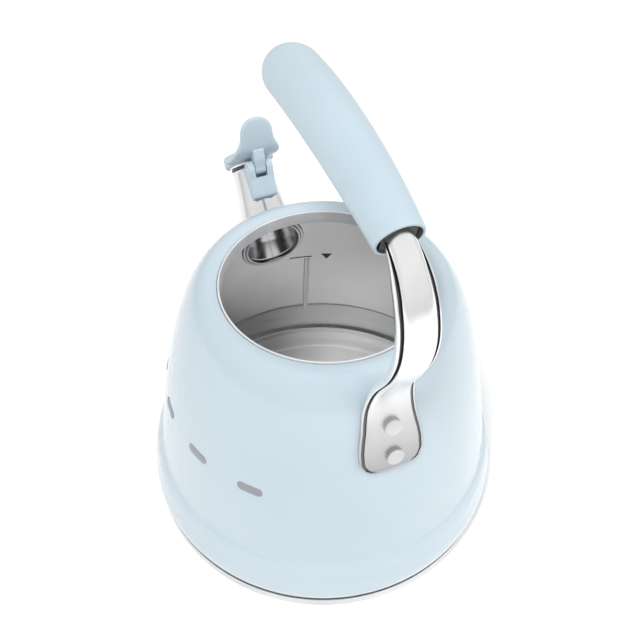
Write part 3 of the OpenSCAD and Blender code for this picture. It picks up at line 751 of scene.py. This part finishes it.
def handle_stem():
    """The steel strap, from its riveted plate to its rounder end in the grip."""
    path = strap_path()
    run = run_length(path)
    heights, halves = zip(*OUTLINE)
    rings, painted_shade_rows = [], set()
    for n, ((x, z), d, up) in enumerate(zip(path, headings(path, run), run)):
        left = run[-1] - up                            # distance still to go to the socket
        w = float(np.interp(z, heights, halves)) * (0.74 + 0.26 * ease(left, 1, 24))
        if up < PLATE_CORNER:
            w -= PLATE_CORNER - math.sqrt(max(PLATE_CORNER ** 2 - (PLATE_CORNER - up) ** 2, 0))
        k, swell = ease(z, 132, 172), 1 - ease(left, 1, 26)
        t = MOUNT_T + (STEM_T - MOUNT_T) * k + (SOCKET_T - STEM_T) * swell
        flange = 1.0 + 2.4 * k + 3.0 * swell
        if up < 2.4:                                   # the flange runs along the plate's lower edge too
            reach = min(max((up - 1.7) / 0.7, 0), 1)
            t = flange - 0.2 + (t - flange + 0.2) * math.sqrt(1 - (1 - reach) ** 2)
            flange = min(flange, t)
            # These rows along the plate's lower edge take the painted shade as well.
            if 1.1 < up < 1.8:
                painted_shade_rows.add(n)
        bend = 1 - ease(z, 128, 150)
        radius = float(wall_radius(min(z, 140)))
        normal = np.array([-d[1], d[0]])
        ring = []
        for y, out in section(max(w, 1.8), t, flange, 9.0 - 4.4 * k - 1.0 * swell, 0.85 * swell):
            wrap = bend * (radius - math.sqrt(radius ** 2 - y * y))
            ring.append((x + out * normal[0] + wrap, y, z + out * normal[1]))
        rings.append(ring)
    obj = make("handle_strap", *loft(rings), sharp=50)
    cols = len(rings[0])
    groove = {0, *range(FACE_POINTS - 2, FACE_POINTS + 3), *range(cols - 4, cols)}

    def gets_painted_shade(n):
        row, col = divmod(n, cols)
        return row < len(rings) - 8 and (col in groove or (row in painted_shade_rows and col < FACE_POINTS))

    # The groove faces and the rows along the plate's lower edge get the near-black painted shade.
    two_materials(obj, handle_steel, groove_painted_shade, gets_painted_shade)
    return finish_piece(obj, KETTLE, "polished_steel", None, "handle_stem")


def rivet_frame(z):
    """A frame on the wall at a height, with its Z straight out of the wall."""
    lean = wall_lean(z)
    out = Vector((-math.cos(lean), 0, math.sin(lean)))
    return frame_of((-float(wall_radius(z)), 0, z), (math.sin(lean), 0, math.cos(lean)), out)


def rivets():
    """Both rivets, each with a flat head on the plate, a shank and a smaller head inside the vessel."""
    base = PLATE_IN + MOUNT_T + 0.1
    top = base + RIVET_H
    rivet = np.vstack([[(0.01, top), (RIVET_R - 0.7, top)], arc((RIVET_R - 0.45, top - 0.45), 0.45, 80, 0, 6),
                       [(RIVET_R, base - 0.4), (2.2, base - 0.4), (2.2, -2.9), (3.4, -2.9), (3.5, -3.1),
                        (3.5, -3.7), (3.2, -4.0), (0.01, -4.0)]])
    both = gather(lathe(rivet[::-1], 64, rivet_frame(z)) for z in RIVET_ZS)
    obj = make("plate_rivets", *both, sharp=40, weld=1e-6)
    return finish_piece(obj, KETTLE, "satin_steel", rivet_steel, "handle_rivets")


def grip_half(t):
    """Half the grip's width and height at a place on its line."""
    w = (GRIP_W0 + (GRIP_W1 - GRIP_W0) * np.sin(np.pi / 2 * np.minimum(1, t / 0.8))) / 2
    return w, 0.9 * w


def grip_ring(t, scale=1.0):
    """The grip's oval section at a place on its line."""
    c, d = bezier(GRIP_LINE, t), bezier_slope(GRIP_LINE, t)
    d = d / np.linalg.norm(d)
    w, h = grip_half(t)
    a = np.linspace(0, 2 * math.pi, 64, endpoint=False)
    u = h * scale * np.sin(a)
    return np.stack([c[0] - d[1] * u, w * scale * np.cos(a), c[1] + d[0] * u], 1)


def grip():
    """The soft grip, with painted shade in the socket round the strap's end, and a hole for the screw below."""
    round_from, socket, recess = 0.87, 0.07, 0.86
    ts = [(t, 1.0) for t in np.linspace(0.006, round_from, 60)]
    for a in np.linspace(0, math.pi / 2, 26)[1:]:
        ts.append((round_from + (1 - round_from) * math.sin(a), max(math.cos(a), 0.02)))
    mouth = [(socket, 0.02), (socket, recess - 0.02), (0.06, recess), (0.004, recess), (0.0008, recess + 0.02),
             (0.0, 0.92), (0.0, 0.955), (0.0012, 0.985)]
    rings = [grip_ring(t, s) for t, s in mouth + ts]
    obj = make("soft_grip", *loft(rings), sharp=60)
    # The socket's first rings of faces take the dark grey painted shade.
    two_materials(obj, soft_blue, socket_painted_shade, lambda n: n < 4 * len(rings[0]))
    screw = frame_of((-34, 0, 0), (1, 0, 0), (0, 0, 1))
    combine(obj, cutters=[cylinder(3.2, 215, 231.8, screw)])
    shade(obj, 40)
    return finish_piece(obj, KETTLE, "soft_blue", None, "grip")


# ---------------------------------------------------------------- marks
def wall_patch(outline, z0, angle, out):
    """Points of a flat outline (sideways, up) laid on the wall at an angle, out from its surface."""
    pts = []
    for s, h in outline:
        z = z0 + h
        r = float(wall_radius(z, out))
        a = math.radians(angle) + s / r
        pts.append((r * math.cos(a), r * math.sin(a), z))
    return pts


def trim_marks():
    """Four plain pills round the side of the vessel."""
    r = MARK_H / 2
    pill = np.vstack([arc((MARK_W / 2 - r, 0), r, -90, 90, 12), arc((-MARK_W / 2 + r, 0), r, 90, 270, 12)])
    layers = ((1, 0.03), (1, 0.3), (0.96, 0.42), (0.7, 0.42), (0.35, 0.42), (0.02, 0.42))
    marks = [loft([wall_patch(pill * k, MARK_Z, 180 + angle, out) for k, out in layers]) for angle in MARK_ANGLES]
    obj = make("side_marks", *gather(marks), sharp=40)
    return finish_piece(obj, KETTLE, "mark_grey", mark_grey, "trim_marks")


def level_mark():
    """The level line inside the wall, with a plain triangle beside it."""
    line = np.array([(-7.0, -0.45), (7.0, -0.45), (7.0, 0.45), (-7.0, 0.45)])
    triangle = np.array([(-3.4, 2.6), (3.4, 2.6), (0, -2.6)])
    prints = []
    for shape, angle in ((line, LEVEL_ANGLE), (triangle, TRIANGLE_ANGLE)):
        fine = []
        for a, b in zip(shape, np.roll(shape, -1, axis=0)):
            fine += [a + (b - a) * k / 8 for k in range(8)]
        fine = np.array(fine)
        prints.append(loft([wall_patch(fine * k, LEVEL_Z, angle, -SHEET - out)
                            for k, out in ((1, 0.01), (1, 0.06), (0.02, 0.06))]))
    obj = make("level_line", *gather(prints), sharp=40)
    return finish_piece(obj, KETTLE, "mark_grey", print_black)


def inside_seam():
    """The welded seam down the inside of the wall, below the level line."""
    bead = [(-1.7, 0.01), (-1.4, 0.22), (-0.9, 0.26), (-0.5, 0.05), (0.5, 0.05), (0.9, 0.26), (1.4, 0.22), (1.7, 0.01)]
    rings = [[wall_patch([(y, z)], LEVEL_Z, SEAM_ANGLE, -SHEET - out)[0] for y, out in bead]
             for z in np.linspace(-56, -2, 60)]
    obj = make("wall_seam", *loft(rings), sharp=50)
    return finish_piece(obj, KETTLE, "satin_steel", plate_steel)


# ---------------------------------------------------------------- studio
def surroundings():
    """A pale grey surround, white to the camera, that lights matt surfaces less than it shows in shiny ones."""
    world = bpy.data.worlds.new("studio")
    bpy.context.scene.world = world
    world.use_nodes = True
    tree = world.node_tree
    back = tree.nodes["Background"]
    coords = tree.nodes.new("ShaderNodeTexCoord")
    split = tree.nodes.new("ShaderNodeSeparateXYZ")
    ramp = tree.nodes.new("ShaderNodeValToRGB")
    spread = tree.nodes.new("ShaderNodeMapRange")
    tree.links.new(coords.outputs["Generated"], split.inputs[0])
    tree.links.new(split.outputs[2], spread.inputs["Value"])
    spread.inputs["From Min"].default_value = -1
    tree.links.new(spread.outputs[0], ramp.inputs[0])
    stops = [(0.0, 0.9), (0.47, 0.85), (0.52, 0.72), (0.6, 0.84), (0.74, 0.95), (1.0, 0.9)]
    ramp.color_ramp.elements[0].position, ramp.color_ramp.elements[1].position = stops[0][0], stops[-1][0]
    ramp.color_ramp.elements[0].color = (*[stops[0][1]] * 3, 1)
    ramp.color_ramp.elements[1].color = (*[stops[-1][1]] * 3, 1)
    for pos, value in stops[1:-1]:
        ramp.color_ramp.elements.new(pos).color = (value, value, value, 1)
    path = tree.nodes.new("ShaderNodeLightPath")
    mix = tree.nodes.new("ShaderNodeMix")
    mix.data_type = "RGBA"
    tree.links.new(path.outputs["Is Camera Ray"], mix.inputs[0])
    tree.links.new(ramp.outputs[0], mix.inputs[6])
    mix.inputs[7].default_value = (1.0, 1.0, 1.0, 1)
    tree.links.new(mix.outputs[2], back.inputs[0])
    dim = tree.nodes.new("ShaderNodeMapRange")
    tree.links.new(path.outputs["Is Diffuse Ray"], dim.inputs["Value"])
    dim.inputs["To Min"].default_value, dim.inputs["To Max"].default_value = 1.0, 0.55
    tree.links.new(dim.outputs[0], back.inputs[1])


def softbox(name, position, target, size, watts):
    """A rectangular light, aimed at a target, that doesn't show in reflections."""
    light = bpy.data.lights.new(name, "AREA")
    light.shape, light.size, light.size_y, light.energy = "RECTANGLE", *size, watts
    obj = bpy.data.objects.new(name, light)
    obj.location = position
    obj.rotation_euler = (Vector(target) - Vector(position)).to_track_quat("-Z", "Y").to_euler()
    obj.visible_glossy = False
    bpy.context.scene.collection.objects.link(obj)


def studio():
    """The surroundings, three softboxes and a white floor."""
    surroundings()
    softbox("softbox_top", (-0.6, 0.83, 2.25), (0, 0, 0.1), (0.66, 0.66), 40)
    softbox("softbox_side", (-0.7, -1.2, 0.8), (0, 0, 0.1), (1.2, 0.9), 10)
    softbox("softbox_rear", (-1.3, 0.7, 0.35), (0, 0, 0.15), (0.9, 0.6), 1.2)
    bpy.ops.mesh.primitive_plane_add(size=14, location=(0, 0, -0.0001))
    floor = bpy.context.object
    floor.name = "studio_floor"
    s = Shader("floor_white", Roughness=0.7)
    s.set(Base_Color=s.mix(s.noise(3.0, 2.0), (0.96, 0.96, 0.962), (0.975, 0.975, 0.977)))
    floor.data.materials.append(s.mat)
    bpy.context.scene.view_settings.view_transform = "Standard"
    bpy.context.scene.view_settings.exposure = 0.0


def camera():
    """The photograph's viewpoint, in the kettle's frame."""
    turn = math.radians(23.88)
    distance, height = 0.2988, 0.4428
    pitch, roll = math.radians(47.36), math.radians(1.14)
    cam = bpy.data.cameras.new("camera")
    obj = bpy.data.objects.new("camera", cam)
    bpy.context.scene.collection.objects.link(obj)
    obj.location = (-distance * math.cos(turn), distance * math.sin(turn), height)
    look = Vector((math.cos(pitch) * math.cos(turn), -math.cos(pitch) * math.sin(turn), -math.sin(pitch)))
    obj.rotation_mode = "QUATERNION"
    obj.rotation_quaternion = look.to_track_quat("-Z", "Y") @ Matrix.Rotation(roll, 4, "Z").to_quaternion()
    cam.sensor_width, cam.lens = 36.0, 46.94
    cam.shift_x, cam.shift_y = -0.0043, 0.0048
    cam.clip_start, cam.clip_end = 0.01, 50
    cam.dof.use_dof = False
    bpy.context.scene.camera = obj


camera()
studio()
vessel()
rim_collar()
base_pan()
base_plate()
spout_tube()
spout_collar()
whistle_bracket()
whistle_cap()
whistle_insides()
hinge_pin()
handle_stem()
rivets()
grip()
trim_marks()
level_mark()
inside_seam()

# The hidden pieces keep their CAD shapes, with a material each.
CARRIED = {"heat_spreader": aluminium, "bracket_screw": polished, "return_spring": polished,
           "mount_gasket": silicone, "rivet_washers": rivet_steel, "grip_insert": nylon, "grip_screw": rivet_steel}
for node, material in CARRIED.items():
    obj = nodes[node]
    if obj.material_slots:
        for s in obj.material_slots:
            s.material = material
    else:
        obj.data.materials.append(material)
